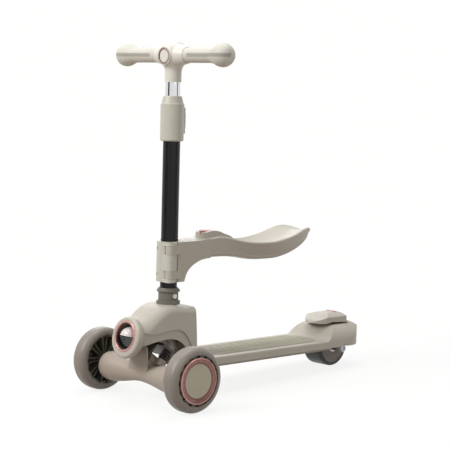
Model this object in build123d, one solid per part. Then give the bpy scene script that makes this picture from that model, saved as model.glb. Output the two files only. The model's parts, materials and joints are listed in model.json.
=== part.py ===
# A three-wheel kids scooter with a swing seat, modelled piece by piece at its real size.
#
# Everything is drawn in the frame of the deck: X to the rider's left, Y rearwards, Z square to
# the deck, with the column upright in it. The deck then leans back by the rake angle, so that
# all three wheels stand on one floor. The written pieces have their origin on that floor, at
# the middle of the scooter's length and width.
import os
from math import cos, dist, hypot, pi, radians, sin, tan

from build123d import *

# Stance
rake = 2.0                  # degrees that deck and column lean back
front_wheel_r = 60.0
rear_wheel_r = 40.0
wheelbase = 482.0
track = 263.0               # between the middles of the front wheels

# General fits
gap = 0.3                   # between pieces that move past each other
seat_fit = 0.05             # between pieces fixed in each other
running_fit = 0.05          # radial, shaft in hole
wall = 3.0                  # moulded walls
coil_steps = 12             # of one turn of a spring

# Deck
deck_top = 77.0
deck_edge = 14.5            # height of the side wall
strip_h = 3.6               # light strip under the side wall
deck_half = 59.0
deck_front_half = 44.0
deck_front_y = 60.0
deck_shoulder_y = 112.0
tail_y = wheelbase + 59.0
tail_corner = 46.0
deck_round = 3.0
rib_pitch = 42.0
rib_t = 2.2

# Grip mat
mat_half = 44.0
mat_front_y = 122.0
mat_rear_y = wheelbase - 54.0
mat_end = 38.0
mat_depth = 2.0             # sunk into the deck
mat_proud = 1.6
mat_rib_n = 17
mat_rib_w = 5.0
mat_rib_h = 0.6
mat_rib_angle = 28.0

# Column
column_y = 50.0
tube_r = 16.0
tube_wall = 1.9
inner_r = 14.0
inner_wall = 1.5
tube_low = 98.0
tube_top = 546.0
inner_low = 330.0
tube_lip_h = 2.4
tube_lip = 0.6

# Bonnet
bonnet_top = 178.0
bonnet_round = 5.0
bonnet_rear_y = 93.0
bonnet_half = 51.0
bonnet_corner = 20.0
bonnet_lean = 2.0           # degrees that its back and sides draw in upwards
# cross-sections of the hood: Y, half width below and above, lowest and highest Z, corner radius
hood = (
    (-44.0, 31.0, 31.0, 94.0, 156.0, 29.5),
    (-22.0, 39.0, 34.0, 78.0, 161.0, 30.0),
    (0.0, 46.5, 36.0, 64.0, 173.5, 25.0),
    (28.0, 50.5, 37.0, 56.0, 179.5, 18.0),
    (100.0, 50.5, 36.0, 56.0, 180.0, 13.0),
)
band_step = 3.0             # how far the band over the arch is set in
socket_wall = 3.6
rib_x = 12.0
nacelle_len = 20.0
nacelle_back_r = 32.5
nacelle_drop = 2.0          # of its middle under the lamp's

# Headlight
lamp_y = -52.4
lamp_z = 125.2
lamp_tilt = 12.0            # degrees up from level
nacelle_r = 38.5
ring_r = 29.0
ring_w = 4.2
lamp_depth = 15.0
dome_r = 18.5
louvre_n = 6

# Collar on the bonnet
collar_h = 30.2
collar_r = 18.8
collar_foot_r = 22.3
collar_foot_h = 5.6
collar_flange_r = 21.8
collar_flange_h = 7.0
snap_z = bonnet_top + 15.0
snap_r = 5.2
snap_proud = 1.6

# Seat hinge
clamp_low = 220.2
clamp_h = 74.7
clamp_sleeve_r = 19.5
clamp_r = 23.5
flange_h = 6.5
knuckle_low = 21.7          # above the clamp's lower end
knuckle_h = 30.0
hinge_x = 21.0
hinge_dy = 15.0             # in front of the column's axis
barrel_r = 8.8
hinge_pin_r = 3.5

# Seat
bracket_half = 25.0
saddle_half = 46.0
saddle_end_y = 407.0
button_y = 141.0
button_len = 28.0
button_w = 19.0
button_travel = 4.0
bracket_top = clamp_low + clamp_h
boss_top = bracket_top + 15.1
bolt_w = 9.0
bolt_h = 8.0
bolt_z = bracket_top - 17.9
bolt_back_y = 154.0

# Height sleeve
sleeve_low = tube_top - 64.7
sleeve_r = 22.0
sleeve_shoulder_z = tube_top + 3.7
sleeve_top = tube_top + 18.5
sleeve_neck_r = 17.6
lock_z = tube_top - 26.0
lock_w = 17.0
lock_h = 26.0
lock_travel = 2.5
lock_housing = 2.5          # how far the button's housing stands out at the back
lock_proud = 2.0
lock_plate = 3.6
lock_pin_r = 3.0
lock_pitch = 25.0
lock_holes = 6

# Handlebar
bar_z = 639.7
hub_r = 27.5
stem_r = 15.5
stem_low = bar_z - 49.5
grip_r = 14.2
grip_flare_r = 21.6
grip_flare_x = 136.0
grip_flare_half = 20.0
grip_neck = 34.0            # from the flare's middle to where it starts
strip_depth = 1.2
bar_core_r = 9.0
grip_start = 24.0
strip_start = 52.0
strip_w = 6.6
badge_r = 15.5
badge_y = 26.4

# Front truck
pin_tilt = 37.0             # degrees that the steering pin rises forwards from the deck plane
pin_y = 12.0
pin_z = 70.0
pin_r = 5.0
boss_r = 14.0
boss_half = 18.0
ear_t = 5.0
ear_half = 12.0
bridge_e = 28.0             # from the pin's axis up to the bridge of the bracket
bridge_t = 5.0
bridge_half = 36.0
spring_x = 24.0
spring_r = 6.2
spring_wire = 1.0
spring_turns = 3.5
spigot_h = 5.0
pad_e = 9.0
pin_head_r = 8.0
pin_head_h = 4.0
steering_nut_r = 8.0
steering_nut_h = 7.0
bush_wall = 1.6
bush_len = 10.0
beam_z = 50.5
beam_end_x = track / 2 - 22.5
# sections of the beam, from the middle outwards: share of the way to its end, Y of the middle, radius
beam_form = ((0.0, -8.0, 14.0), (0.18, -6.5, 16.0), (0.37, -4.0, 20.0), (0.55, -2.5, 24.0),
             (0.74, -2.0, 27.0), (0.89, -2.0, 27.5), (1.0, -2.0, 25.0))
beam_neck_half = 13.0
shield_low_half = 28.0
shield_high_half = 21.0
shield_low_y = -21.5
shield_high_y = -17.5
shield_top = 107.0
shield_t = 3.6
axle_r = 4.0
stub_start = track / 2 - 57.5  # from the middle to the inner end of each front axle

# Front wheels
tyre_half = 17.5
tyre_round = 12.5
tyre_bore = 47.0
rim_in = 43.0
rim_half = 15.0
wheel_boss_r = 14.5
wheel_boss_half = 11.0
bearing_r = 11.0
bearing_w = 7.0
spoke_pairs = 8
spoke_w = 2.6
spoke_spread = 7.5
spoke_web = 4.0             # thickness of the web inside each pair
spoke_half = 9.0
notch_n = 16
notch_w = 8.0
notch_d = 4.0
wheel_ring_r = 42.0
wheel_ring_w = 11.0
ring_lip = 2.0
ring_sink = 2.6             # from the ring's lip down to its inner slope
wheel_ring_face = 19.2      # from the wheel's middle to the ring's outer face
cap_dome = 1.2
nut_af = 13.0
nut_h = 4.6

# Rear wheel
rear_half = 25.0
rear_rim = 33.0
rear_tyre_round = 6.0
rear_boss_r = 13.0
rear_slot_half = 29.5
rear_well_r = 43.2
lug_x = 38.0
lug_t = 11.0
lug_r = 8.5
spacer_r = 7.0
nut_room_r = 9.0            # recess round each rear nut

# Fender and brake
fender_top = 104.0          # the flat under the pedal
fender_crown = 113.0        # the dome behind the pedal
dome_z = deck_top - deck_round
dome_start_y = wheelbase + 18.0
pedal_half = 31.0
pedal_front_y = wheelbase - 48.0
pedal_bow = 34.0            # how far the front lip draws back at the sides
pedal_rear_y = wheelbase + 29.0
pedal_tip_z = 107.0
pedal_top = 127.0
brake_pin_y = wheelbase + 38.0
brake_pin_z = 102.0
brake_pin_r = 2.5
brake_pin_half = 29.5
barrel_half = 19.6
brake_barrel_r = 4.2
pad_half = 18.0
pad_len = 20.0
pad_t = 7.0
pad_gap = 5.0
pedal_wall = 3.5
pedal_rise = 2.4            # of its rear edge over the flat
brake_spring_y = wheelbase + 16.0
bar_half = 12.0
bar_w = 8.0

lean = radians(rake)


def seated(y, z):
    """A point over the level floor, in the deck's frame."""
    return y * cos(lean) - z * sin(lean), y * sin(lean) + z * cos(lean)


front_axle_y, front_axle_z = seated(0.0, front_wheel_r)
rear_axle_y, rear_axle_z = seated(wheelbase, rear_wheel_r)


def rod(radius, start, end):
    """A round bar between two points."""
    a, b = Vector(*start), Vector(*end)
    return extrude(Plane(a, z_dir=b - a) * Circle(radius), (b - a).length)


def pipe(outer, inner, start, end):
    return rod(outer, start, end) - rod(inner, start, end)


def block(x0, x1, y0, y1, z0, z1):
    return Pos((x0 + x1) / 2, (y0 + y1) / 2, (z0 + z1) / 2) * Box(x1 - x0, y1 - y0, z1 - z0)


def side_shape(face, half):
    """A profile drawn in Y and Z, as wide as half to each side."""
    return extrude(Plane.YZ * face, half, both=True)


def turned(profile, x, y, z):
    """A profile drawn along X and outwards from it, turned round the wheel's axis."""
    return Pos(x, y, z) * revolve(profile, Axis.X)


def outline(points):
    return make_face(Polyline(*points, close=True))


def coil(radius, wire, length, turns):
    """A wound spring along +Z, one unbroken wire of square section, ruled from step to step."""
    rise = length - 2 * wire
    steps = round(turns * coil_steps)
    sections = []
    points = []
    for i in range(steps + 1):
        a = 2 * pi * turns * i / steps
        centre = (radius * cos(a), radius * sin(a), wire + rise * i / steps)
        along = (-radius * sin(a), radius * cos(a), rise / (2 * pi * turns))
        points.append(centre)
        sections.append(Plane(centre, x_dir=(cos(a), sin(a), 0), z_dir=along) * RegularPolygon(wire, 4))
    print(f"spring of radius {radius}: least gap to itself {self_gap(points, wire):.2f}")
    return loft(sections, ruled=True)


def self_gap(points, wire):
    """The least room between two turns of a wound wire."""
    apart = [dist(p, q) for i, p in enumerate(points) for q in points[i + coil_steps // 2:]]
    return min(apart) - 2 * wire


# Deck, its bottom cover and the grip mat

def deck_plan(inset=0.0):
    points = [
        (-deck_front_half, deck_front_y), (deck_front_half, deck_front_y),
        (deck_half, deck_shoulder_y), (deck_half, tail_y),
        (-deck_half, tail_y), (-deck_half, deck_shoulder_y),
    ]
    face = outline(points)
    by_y = face.vertices().group_by(Axis.Y)
    face = fillet(by_y[-1], tail_corner)
    face = fillet(face.vertices().group_by(Axis.Y)[0], 20)
    shoulder = [v for v in face.vertices() if abs(v.Y - deck_shoulder_y) < 1]
    face = fillet(shoulder, 60)
    if inset:
        face = offset(face, -inset, kind=Kind.INTERSECTION)
    return face


def wheel_well():
    """The room for the rear wheel, open downwards."""
    well = rod(rear_well_r, (-rear_slot_half, rear_axle_y, rear_axle_z),
               (rear_slot_half, rear_axle_y, rear_axle_z))
    below = block(-rear_slot_half, rear_slot_half, rear_axle_y - rear_well_r,
                  rear_axle_y + rear_well_r, 0, rear_axle_z)
    return well + below


def dome_front(top, shrink=0.0):
    """Front view of fender and pedal: half an ellipse that stands on the sides of the deck."""
    half = deck_half - shrink
    low = deck_top - deck_edge
    arc = Pos(0, dome_z) * Ellipse(half, top - shrink - dome_z)
    arc = arc & Pos(0, dome_z + 100) * Rectangle(300, 200)
    sides = Pos(0, (dome_z + low) / 2) * Rectangle(2 * half, dome_z - low)
    return extrude(Plane.XZ * (arc + sides), -wheelbase - 200)


def fender_form():
    """The hood over the rear wheel: its side view, front view and plan, all three at once."""
    low = deck_top - deck_edge
    well_front = rear_axle_y - rear_well_r
    step_y = pedal_rear_y + 3 * gap
    dome_len = tail_y - .5 - dome_start_y
    crown = fender_crown - dome_z
    share = (step_y - dome_start_y) / dome_len
    step_z = dome_z + crown * (1 - share ** 2) ** .5
    middle = (dome_start_y + dome_len * .78, dome_z + crown * (1 - .78 ** 2) ** .5)
    side = make_face([
        Line((tail_y + 20, low), (well_front - 20, low)),
        Line((well_front - 20, low), (well_front - 16, deck_top - 5)),
        Spline((well_front - 16, deck_top - 5), (well_front + 4, deck_top + 9), (well_front + 33, fender_top),
               tangents=[(1, .3), (1, 0)]),
        Polyline((well_front + 33, fender_top), (step_y, fender_top), (step_y, step_z)),
        ThreePointArc((step_y, step_z), middle, (tail_y - .5, dome_z)),
        Polyline((tail_y - .5, dome_z), (tail_y + 20, dome_z), (tail_y + 20, low)),
    ])
    return side_shape(side, 80) & dome_front(fender_crown) & extrude(deck_plan(), 200)


def make_deck():
    low = deck_top - deck_edge
    slab = Pos(0, 0, low) * extrude(deck_plan(), deck_edge)
    slab = fillet(slab.edges().group_by(Axis.Z)[-1], deck_round)
    pocket = Pos(0, 0, low) * extrude(deck_plan(wall) & Pos(0, 240) * Rectangle(200, 360), deck_edge - wall - mat_depth)
    ribs = Part()
    y = 100.0
    while y < rear_axle_y - rear_well_r - 20:
        ribs += block(-deck_half, deck_half, y, y + rib_t, low + 2, deck_top - wall)
        y += rib_pitch
    slab = slab - (pocket - ribs)
    # the lugs that carry the rear axle hang from the deck
    body = slab + fender_form()
    body -= wheel_well()
    for side in (-1, 1):
        x0, x1 = sorted((side * lug_x, side * (lug_x + lug_t)))
        lug = rod(lug_r, (x0, rear_axle_y, rear_axle_z), (x1, rear_axle_y, rear_axle_z))
        web = block(x0, x1, rear_axle_y - lug_r, rear_axle_y + lug_r, rear_axle_z, low + 2)
        body += lug + web
        x2, x3 = sorted((side * rear_slot_half, side * lug_x))
        body -= block(x2, x3, rear_axle_y - 30, rear_axle_y + 40, 0, rear_axle_z + spacer_r + 1)
        body -= rod(nut_room_r, (side * (lug_x + lug_t), rear_axle_y, rear_axle_z),
                    (side * (deck_half + 5), rear_axle_y, rear_axle_z))
    body -= rod(axle_r + seat_fit, (-80, rear_axle_y, rear_axle_z), (80, rear_axle_y, rear_axle_z))
    # recess for the mat and the screw holes of the bottom cover
    body -= Pos(0, 0, deck_top - mat_depth) * extrude(mat_plan(seat_fit), 20)
    # the pad works through the top of the hood
    body -= block(-pad_half - 1, pad_half + 1, rear_axle_y - pad_len / 2 - 2,
                  rear_axle_y + pad_len / 2 + 2, rear_axle_z, fender_top + 20)
    # The pin goes in from one side, and the pedal's barrel turns in a slot of the dome.
    body -= rod(brake_pin_r + seat_fit, (-deck_half - 5, brake_pin_y, brake_pin_z),
                (brake_pin_half, brake_pin_y, brake_pin_z))
    slot_r = brake_barrel_r + 3 * gap
    slot_half = barrel_half + 2 * gap
    body -= rod(slot_r, (-slot_half, brake_pin_y, brake_pin_z), (slot_half, brake_pin_y, brake_pin_z))
    body -= block(-slot_half, slot_half, brake_spring_y + 6, brake_pin_y, brake_pin_z - 1, brake_pin_z + slot_r)
    return body


def mat_plan(extra=0.0):
    face = Pos(0, (mat_front_y + mat_rear_y) / 2) * RectangleRounded(
        2 * (mat_half + extra), mat_rear_y - mat_front_y + 2 * extra, mat_end + extra)
    return face


def make_mat():
    base = Pos(0, 0, deck_top - mat_depth) * extrude(mat_plan(), mat_depth + mat_proud - mat_rib_h)
    field = Pos(0, 0, deck_top) * extrude(offset(mat_plan(), -4), mat_proud)
    length = mat_rear_y - mat_front_y
    ribs = Part()
    for i in range(mat_rib_n):
        y = mat_front_y + length * (i + .5) / mat_rib_n
        for side in (-1, 1):
            bar = Pos(side * mat_half / 2, y, deck_top + mat_proud / 2) * Rot(0, 0, side * mat_rib_angle) * Box(
                mat_half / cos(radians(mat_rib_angle)) - 2, mat_rib_w, mat_proud)
            ribs += bar
    return base + (ribs & field)


def make_deck_base():
    """The bottom cover, whose edge shows as the light strip."""
    low = deck_top - deck_edge - strip_h
    plan = deck_plan(0.8) & Pos(0, 250) * Rectangle(200, 380)
    base = Pos(0, 0, low) * extrude(plan, strip_h)
    base -= wheel_well()
    for side in (-1, 1):
        x0, x1 = sorted((side * (lug_x - gap), side * 80))
        base -= block(x0, x1, rear_axle_y - lug_r - gap, rear_axle_y + 60, 0, 90)
        base -= block(min(side * rear_slot_half, side * 40), max(side * rear_slot_half, side * 40),
                      rear_axle_y - 30, rear_axle_y + 40, 0, 90)
    grooves = Part()
    for x in (-30, -10, 10, 30):
        grooves += block(x - 1.5, x + 1.5, 130, 410, low, low + 1.2)
    return base - grooves


# Bonnet with its headlight

def hood_ring(y, half_low, half_high, low, high, corner, shrink):
    """One cross-section of the hood: round at the lamp, squarer and narrower at the top further back."""
    a, b = half_low - shrink, half_high - shrink
    z0, z1 = low + shrink, high - shrink
    face = make_face(Polyline((-a, z0), (a, z0), (b, z1), (-b, z1), (-a, z0)))
    across = Plane((0, y, 0), x_dir=(1, 0, 0), z_dir=(0, -1, 0))
    return across * fillet(face.vertices(), corner - shrink)


def bonnet_form(shrink=0.0):
    """The body over the front wheels. With shrink, the same form that much smaller all over."""
    body = loft([hood_ring(*ring, shrink) for ring in hood])
    rear, front = bonnet_rear_y - shrink, -100.0
    plan = RectangleRounded(2 * (bonnet_half - shrink), rear - front, bonnet_corner - shrink)
    trim = extrude(Plane.XY.offset(deck_top - 20) * Pos(0, (rear + front) / 2) * plan,
                   bonnet_top - shrink - deck_top + 20, taper=bonnet_lean)
    trim = fillet(trim.edges().group_by(Axis.Z)[-1], bonnet_round)
    return body & trim


def nacelle():
    """The round body of the lamp at the front, widest just behind its rim."""
    profile = make_face([
        Polyline((0, 0), (0, -nacelle_len), (nacelle_back_r, -nacelle_len)),
        Spline((nacelle_back_r, -nacelle_len), (nacelle_r - 1.2, -nacelle_len * .62), (nacelle_r, -nacelle_len * .32),
               (nacelle_r - 1.4, -1.6), (nacelle_r - 4.5, 0)),
        Line((nacelle_r - 4.5, 0), (0, 0)),
    ])
    form = revolve(profile.moved(Location((0, 0, 0), (90, 0, 0))), Axis.Z)
    return lamp_plane() * Pos(0, -nacelle_drop, 0) * form


def lamp_plane():
    t = radians(lamp_tilt)
    return Plane((0, lamp_y, lamp_z), x_dir=(1, 0, 0), z_dir=(0, -cos(t), sin(t)))


def over_band():
    """Side view of all that lies above the S-shaped line and behind it."""
    return side_shape(make_face([
        Line((-120, 220), (-120, 143)),
        Spline((-120, 143), (-48, 138), (-17, 130), (22, 134), (52, 130), (70, 108), (86, 60)),
        Polyline((86, 60), (140, 60), (140, 220), (-120, 220)),
    ]), 90)


def arch():
    """Side view of the opening over the beam."""
    return side_shape(make_face([
        Line((-120, 60), (-120, 92)),
        Line((-120, 92), (-60, 94)),
        Spline((-60, 94), (-40, 105), (-12, 114), (14, 118), (36, 116), (58, 102), (66, 76)),
        Polyline((66, 76), (66, 40), (-120, 40), (-120, 60)),
    ]), 90)


def make_bonnet():
    inset = bonnet_form(band_step)
    hollow = bonnet_form(band_step + wall)
    shell = (bonnet_form() & over_band()) + inset - hollow
    shell -= arch()
    shell += nacelle() - lamp_plane().offset(-60) * extrude_circle(ring_r - wall, 60 - lamp_depth - 2 - wall)
    # socket for the column, with two ribs that stand on the bracket
    core = rod(tube_r + socket_wall, (0, column_y, tube_low - 5), (0, column_y, bonnet_top - wall - 1))
    mount_e = bridge_e + bridge_t + seat_fit
    for side in (-1, 1):
        core += pin_frame() * Pos(side * rib_x, mount_e + 40, 0) * Box(2 * rib_t, 80, 2 * (boss_half + ear_t))
    shell += core & hollow
    shell -= pin_frame() * Pos(0, mount_e - 50, 0) * Box(
        2 * (bridge_half + gap), 100, 2 * (boss_half + ear_t + 3 * gap))
    shell -= rod(tube_r + seat_fit, (0, column_y, tube_low), (0, column_y, bonnet_top + 40))
    # seat of the lamp in the nose
    shell -= lamp_plane().offset(-lamp_depth - 2) * extrude_circle(ring_r + seat_fit, lamp_depth + 30)
    shell -= block(-80, 80, column_y - 10, 140, 0, deck_top)
    return shell


def extrude_circle(radius, height):
    return extrude(Circle(radius), height)


def make_lamp():
    plane = lamp_plane()
    pieces = {}
    bowl_r = ring_r - ring_w
    ring = revolve(make_face([
        Line((bowl_r, -6), (ring_r, -6)),
        Line((ring_r, -6), (ring_r, -.5)),
        ThreePointArc((ring_r, -.5), (ring_r - ring_w * .45, 1.8), (bowl_r, -1.2)),
        Line((bowl_r, -1.2), (bowl_r, -6)),
    ]).moved(Location((0, 0, 0), (90, 0, 0))), Axis.Z)
    pieces["lamp_ring"] = plane * ring
    bezel = Pos(0, 0, -lamp_depth) * (extrude_circle(bowl_r - seat_fit, lamp_depth - 2))
    bezel -= Pos(0, 0, -lamp_depth + 2.5) * Cone(dome_r + 1.2, bowl_r - 1.2, lamp_depth - 2,
                                                 align=(Align.CENTER, Align.CENTER, Align.MIN))
    back = Pos(0, 0, -lamp_depth) * extrude_circle(ring_r, lamp_depth - 6 - seat_fit) - Pos(
        0, 0, -lamp_depth - 1) * extrude_circle(bowl_r - seat_fit - .5, lamp_depth)
    pieces["lamp_bezel"] = plane * (bezel + back)
    floor_z = -lamp_depth + 2.5 + seat_fit
    dome = Pos(0, 0, floor_z) * Sphere(dome_r) & block(-dome_r, dome_r, .6, dome_r, floor_z, dome_r)
    pieces["lamp_reflector"] = plane * dome
    louvre = Part()
    reach = dome_r + .9
    step = (reach - 2) / louvre_n
    for i in range(louvre_n):
        y = -1.0 - step * (i + .5)
        half = (reach ** 2 - y ** 2) ** .5 - .4
        louvre += block(-half, half, y - step * .32, y + step * .32, floor_z, floor_z + 8.5 - i * 1.1)
    louvre += (Pos(0, 0, floor_z) * extrude_circle(dome_r, 1.4)) & block(-bowl_r, bowl_r, -bowl_r, .2, -lamp_depth, dome_r)
    pieces["lamp_louvre"] = plane * louvre
    return pieces


# Column, collar, height sleeve

def make_column():
    pieces = {}
    tube = pipe(tube_r, tube_r - tube_wall, (0, column_y, tube_low), (0, column_y, tube_top))
    lip_z = bracket_top + 1.6
    tube += pipe(tube_r + tube_lip, tube_r - .5, (0, column_y, lip_z), (0, column_y, lip_z + tube_lip_h))
    tube -= rod(snap_r + gap, (0, column_y, snap_z), (40, column_y, snap_z))
    tube -= rod(lock_pin_r + gap, (0, column_y, lock_z), (0, column_y + 40, lock_z))
    pieces["outer_tube"] = tube
    z0 = bonnet_top
    z1 = z0 + collar_h
    profile = make_face([
        Polyline((tube_r + seat_fit, z0), (collar_foot_r, z0), (collar_foot_r, z0 + collar_foot_h),
                 (collar_r, z0 + collar_foot_h), (collar_r, z1 - collar_flange_h - 2),
                 (collar_flange_r, z1 - collar_flange_h), (collar_flange_r, z1 - collar_flange_h + 2.5),
                 (tube_r + 2.2, z1), (tube_r + seat_fit, z1), (tube_r + seat_fit, z0)),
    ])
    collar = Pos(0, column_y, 0) * revolve(profile.moved(Location((0, 0, 0), (90, 0, 0))), Axis.Z)
    tab = block(collar_r - 2, collar_foot_r + 2.4, column_y - 7, column_y + 7, z0, z0 + 7.5)
    collar += tab
    collar += rod(snap_r + 3, (collar_r - 3, column_y, snap_z), (collar_r + .9, column_y, snap_z)) - rod(
        tube_r + seat_fit, (0, column_y, z0), (0, column_y, z1))
    collar -= rod(snap_r + gap, (0, column_y, snap_z), (40, column_y, snap_z))
    pieces["column_collar"] = collar
    button_x = collar_r + snap_proud
    body_x = tube_r - tube_wall - 2.4
    button = rod(snap_r, (body_x, column_y, snap_z), (button_x, column_y, snap_z))
    button = fillet(button.edges().sort_by(Axis.X)[-1], 1.2)
    button += rod(snap_r + 1.6, (body_x - 1.2, column_y, snap_z), (body_x + .4, column_y, snap_z))
    pieces["snap_button"] = button
    length = 2 * (body_x - 1.2) - 2 * gap - (tube_r - tube_wall) + 5
    spring = coil(3.6, .6, length, 3.5)
    pieces["snap_spring"] = Pos(body_x - 1.2 - gap, column_y, snap_z) * Rot(0, -90, 0) * spring
    seat_x = body_x - 1.2 - 2 * gap - length
    anchor = rod(5.4, (seat_x - 2, column_y, snap_z), (seat_x, column_y, snap_z))
    bar = block(-(tube_r - tube_wall) + .6, seat_x - 1, column_y - 3, column_y + 3, snap_z - 3, snap_z + 3)
    pieces["snap_anchor"] = (anchor + bar) & rod(tube_r - tube_wall - seat_fit, (0, column_y, snap_z - 20),
                                                 (0, column_y, snap_z + 20))
    return pieces


def make_sleeve():
    pieces = {}
    z0, z1, z2 = sleeve_low, sleeve_shoulder_z, sleeve_top
    r = tube_r + seat_fit
    profile = make_face([
        Polyline((r, z0), (sleeve_r - 2, z0), (sleeve_r, z0 + 2.4), (sleeve_r, z1), (sleeve_r - 1.4, z1 + 1.2),
                 (sleeve_neck_r, z2 - 2), (sleeve_neck_r - 1, z2), (inner_r + running_fit, z2),
                 (inner_r + running_fit, tube_top + seat_fit), (r, tube_top + seat_fit), (r, z0)),
    ])
    sleeve = Pos(0, column_y, 0) * revolve(profile.moved(Location((0, 0, 0), (90, 0, 0))), Axis.Z)
    # seams down both sides, and the raised housing of the button at the back
    back = column_y + sleeve_r + lock_housing
    housing = block(-lock_w / 2 - 3, lock_w / 2 + 3, column_y + 8, back, z0 + 14, z1 - 6)
    housing = fillet(housing.edges().filter_by(Axis.Z).group_by(Axis.Y)[-1], 4)
    housing -= rod(r, (0, column_y, z0), (0, column_y, z2))
    sleeve += housing
    floor_y = column_y + tube_r + 2 * gap
    sleeve -= block(-lock_w / 2 - gap, lock_w / 2 + gap, floor_y, back + 5,
                    lock_z - lock_h / 2 - gap, lock_z + lock_h / 2 + gap)
    sleeve -= rod(lock_pin_r + gap, (0, column_y, lock_z), (0, back, lock_z))
    for x in (-1, 1):
        sleeve -= block(x * sleeve_r - .6, x * sleeve_r + .6, column_y - .6, column_y + .6, z0 - 1, z1)
    pieces["height_sleeve"] = sleeve
    face_y = back + lock_proud
    plate_y = face_y - lock_plate
    button = block(-lock_w / 2, lock_w / 2, plate_y, face_y, lock_z - lock_h / 2, lock_z + lock_h / 2)
    button = fillet(button.edges().group_by(Axis.Y)[-1], 1.6)
    # The pin stands at the face of the inner tube.
    button += rod(lock_pin_r, (0, column_y + inner_r + lock_travel + gap, lock_z), (0, plate_y + 1, lock_z))
    pieces["height_button"] = button
    pieces["height_spring"] = Pos(0, floor_y + gap, lock_z) * Rot(-90, 0, 0) * coil(
        lock_pin_r + 2.2, .5, plate_y - floor_y - 2 * gap, 2)
    return pieces


# Handlebar

def make_handlebar():
    pieces = {}
    top = stem_low + 22
    inner = pipe(inner_r, inner_r - inner_wall, (0, column_y, inner_low), (0, column_y, top))
    for i in range(lock_holes):
        z = lock_z + (1 - i) * lock_pitch
        inner -= rod(lock_pin_r + gap, (0, column_y, z), (0, column_y + 30, z))
    pieces["inner_tube"] = inner
    hub = Pos(0, column_y, bar_z) * Sphere(hub_r)
    stem = revolve(make_face([
        Polyline((0, stem_low), (stem_r, stem_low), (stem_r, stem_low + 18)),
        ThreePointArc((stem_r, stem_low + 18), (stem_r + 1.6, stem_low + 26), (stem_r + 6, stem_low + 33)),
        Polyline((stem_r + 6, stem_low + 33), (0, stem_low + 33), (0, stem_low)),
    ]).moved(Location((0, 0, 0), (90, 0, 0))), Axis.Z)
    hub += Pos(0, column_y, 0) * stem
    for side in (-1, 1):
        hub += Pos(side * 12, column_y, bar_z) * Rot(0, side * 90, 0) * Cone(
            21.5, grip_r + 1.2, grip_start + 4, align=(Align.CENTER, Align.CENTER, Align.MIN))
    tips = grip_flare_x + 4
    hub += rod(bar_core_r, (-tips, column_y, bar_z), (tips, column_y, bar_z))
    hub -= rod(inner_r + seat_fit, (0, column_y, stem_low - 1), (0, column_y, top + seat_fit))
    badge = Plane((0, badge_y, bar_z - 2), x_dir=(1, 0, 0), z_dir=(0, -1, 0))
    hub += badge.offset(-12) * extrude_circle(badge_r + 1.6, 12)
    hub -= badge.offset(-2.5) * extrude_circle(badge_r + seat_fit, 12)
    pieces["handlebar_hub"] = hub
    pieces["badge_ring"] = badge.offset(-2.5) * (extrude_circle(badge_r, 3.4) - Pos(0, 0, 1) * extrude_circle(badge_r - 2.4, 5)
                                                 - extrude_circle(badge_r - 4, 5))
    disc = extrude_circle(badge_r - 4 - seat_fit, 2.2)
    pieces["badge_disc"] = badge.offset(-2.5) * disc
    start = 12 + grip_start + 4 + .2
    strips = Part()
    for side, name in ((1, "left"), (-1, "right")):
        grip = grip_form(side) - rod(bar_core_r + seat_fit, (0, column_y, bar_z), (side * (tips + seat_fit), column_y, bar_z))
        grip -= block(-start, start, column_y - 30, column_y + 30, bar_z - 30, bar_z + 30)
        x0, x1 = sorted((side * strip_start, side * (grip_flare_x + grip_flare_half + 1)))
        core = grip_form(side, strip_depth)
        half = strip_w / 2
        groove = block(x0, x1, column_y - 40, column_y, bar_z - half - seat_fit, bar_z + half + seat_fit) - core
        strips += (grip & block(x0, x1, column_y - 40, column_y - 2, bar_z - half, bar_z + half)) - core
        pieces[f"{name}_grip"] = grip - groove
    pieces["grip_strips"] = strips
    return pieces


def grip_form(side, shrink=0.0):
    """The turned form of a grip, solid from the middle of the bar. With shrink, that much smaller."""
    r, flare, half = grip_r - shrink, grip_flare_r - shrink, grip_flare_half - shrink
    neck_x = grip_flare_x - grip_neck
    end_x = grip_flare_x + half
    profile = make_face([
        Polyline((end_x, 0), (0, 0), (0, r), (neck_x, r)),
        Spline((neck_x, r), ((neck_x + grip_flare_x) / 2, r + 3.4), (grip_flare_x, flare),
               (grip_flare_x + half * .72, flare * .72), (end_x, 0), tangents=[(1, 0), (0, -1)]),
    ])
    form = revolve(profile, Axis.X)
    if side < 0:
        form = mirror(form, Plane.YZ)
    return Pos(0, column_y, bar_z) * form


# Seat hinge and seat

def clamp_side():
    """Plan of the space that belongs to the clamp: in front of the column, and to the far side
    as far as the line through pin and column."""
    far = 60.0
    return make_face(Polyline((0, 0), (far, 0), (far, -far), (-far, -far), (-far, far * hinge_dy / hinge_x), (0, 0)))


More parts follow.
